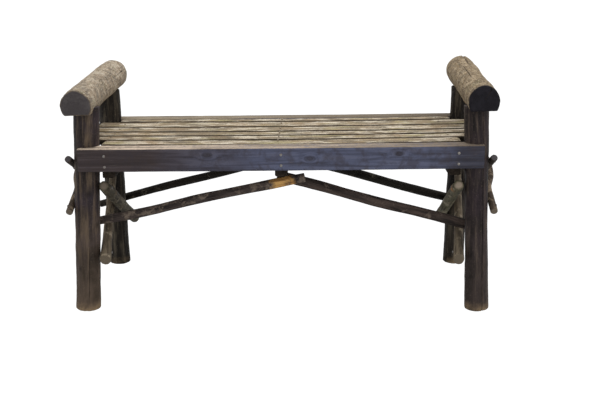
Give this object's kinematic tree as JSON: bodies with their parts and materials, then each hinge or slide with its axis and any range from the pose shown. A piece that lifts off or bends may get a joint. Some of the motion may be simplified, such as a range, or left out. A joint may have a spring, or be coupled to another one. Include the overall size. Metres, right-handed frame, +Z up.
{
  "type": "garden bench",
  "caption": "Rustic backless garden bench of round log posts and arm logs, with a slatted seat, deep aprons and crossed stick braces.",
  "frame": {"origin": "on the ground, in the middle of the bench's outline seen from above", "axes": "+X along the seat towards the right-hand end, -Y is the front, +Z up"},
  "size_m": [1.1671, 0.5068, 0.6211],
  "materials": {
    "post_wood": "old dark stain worn to bare wood at the feet",
    "log_wood": "weathered silver-grey, mottled with lichen",
    "board_wood": "dark purple-brown to slate, worn pale along the top edge",
    "bearer_wood": "dark and unfinished",
    "slat_wood": "weathered grey-tan with pale lichen",
    "stick_wood": "peeled and partly barked, dull brown",
    "nail_metal": "dull weathered metal"
  },
  "bodies": {
    "root": {"post_front_left": "post_wood", "post_front_right": "post_wood", "post_rear_left": "post_wood", "post_rear_right": "post_wood", "arm_log_left": "log_wood", "arm_log_right": "log_wood", "apron_front": "board_wood", "apron_rear": "board_wood", "bearer_left": "bearer_wood", "bearer_centre": "bearer_wood", "bearer_right": "bearer_wood", "slat_1": "slat_wood", "slat_2": "slat_wood", "slat_3": "slat_wood", "slat_4": "slat_wood", "slat_5": "slat_wood", "slat_6": "slat_wood", "brace_front_left": "stick_wood", "brace_front_right": "stick_wood", "brace_rear_left": "stick_wood", "brace_rear_right": "stick_wood", "inner_fall_left": "stick_wood", "inner_fall_right": "stick_wood", "inner_climb_left": "stick_wood", "inner_climb_right": "stick_wood", "outer_fall_left": "stick_wood", "outer_fall_right": "stick_wood", "outer_climb_left": "stick_wood", "outer_climb_right": "stick_wood", "apron_nails": "nail_metal", "slat_nails": "nail_metal", "brace_nails": "nail_metal", "stick_nails": "nail_metal"}
  },
  "joints": []
}
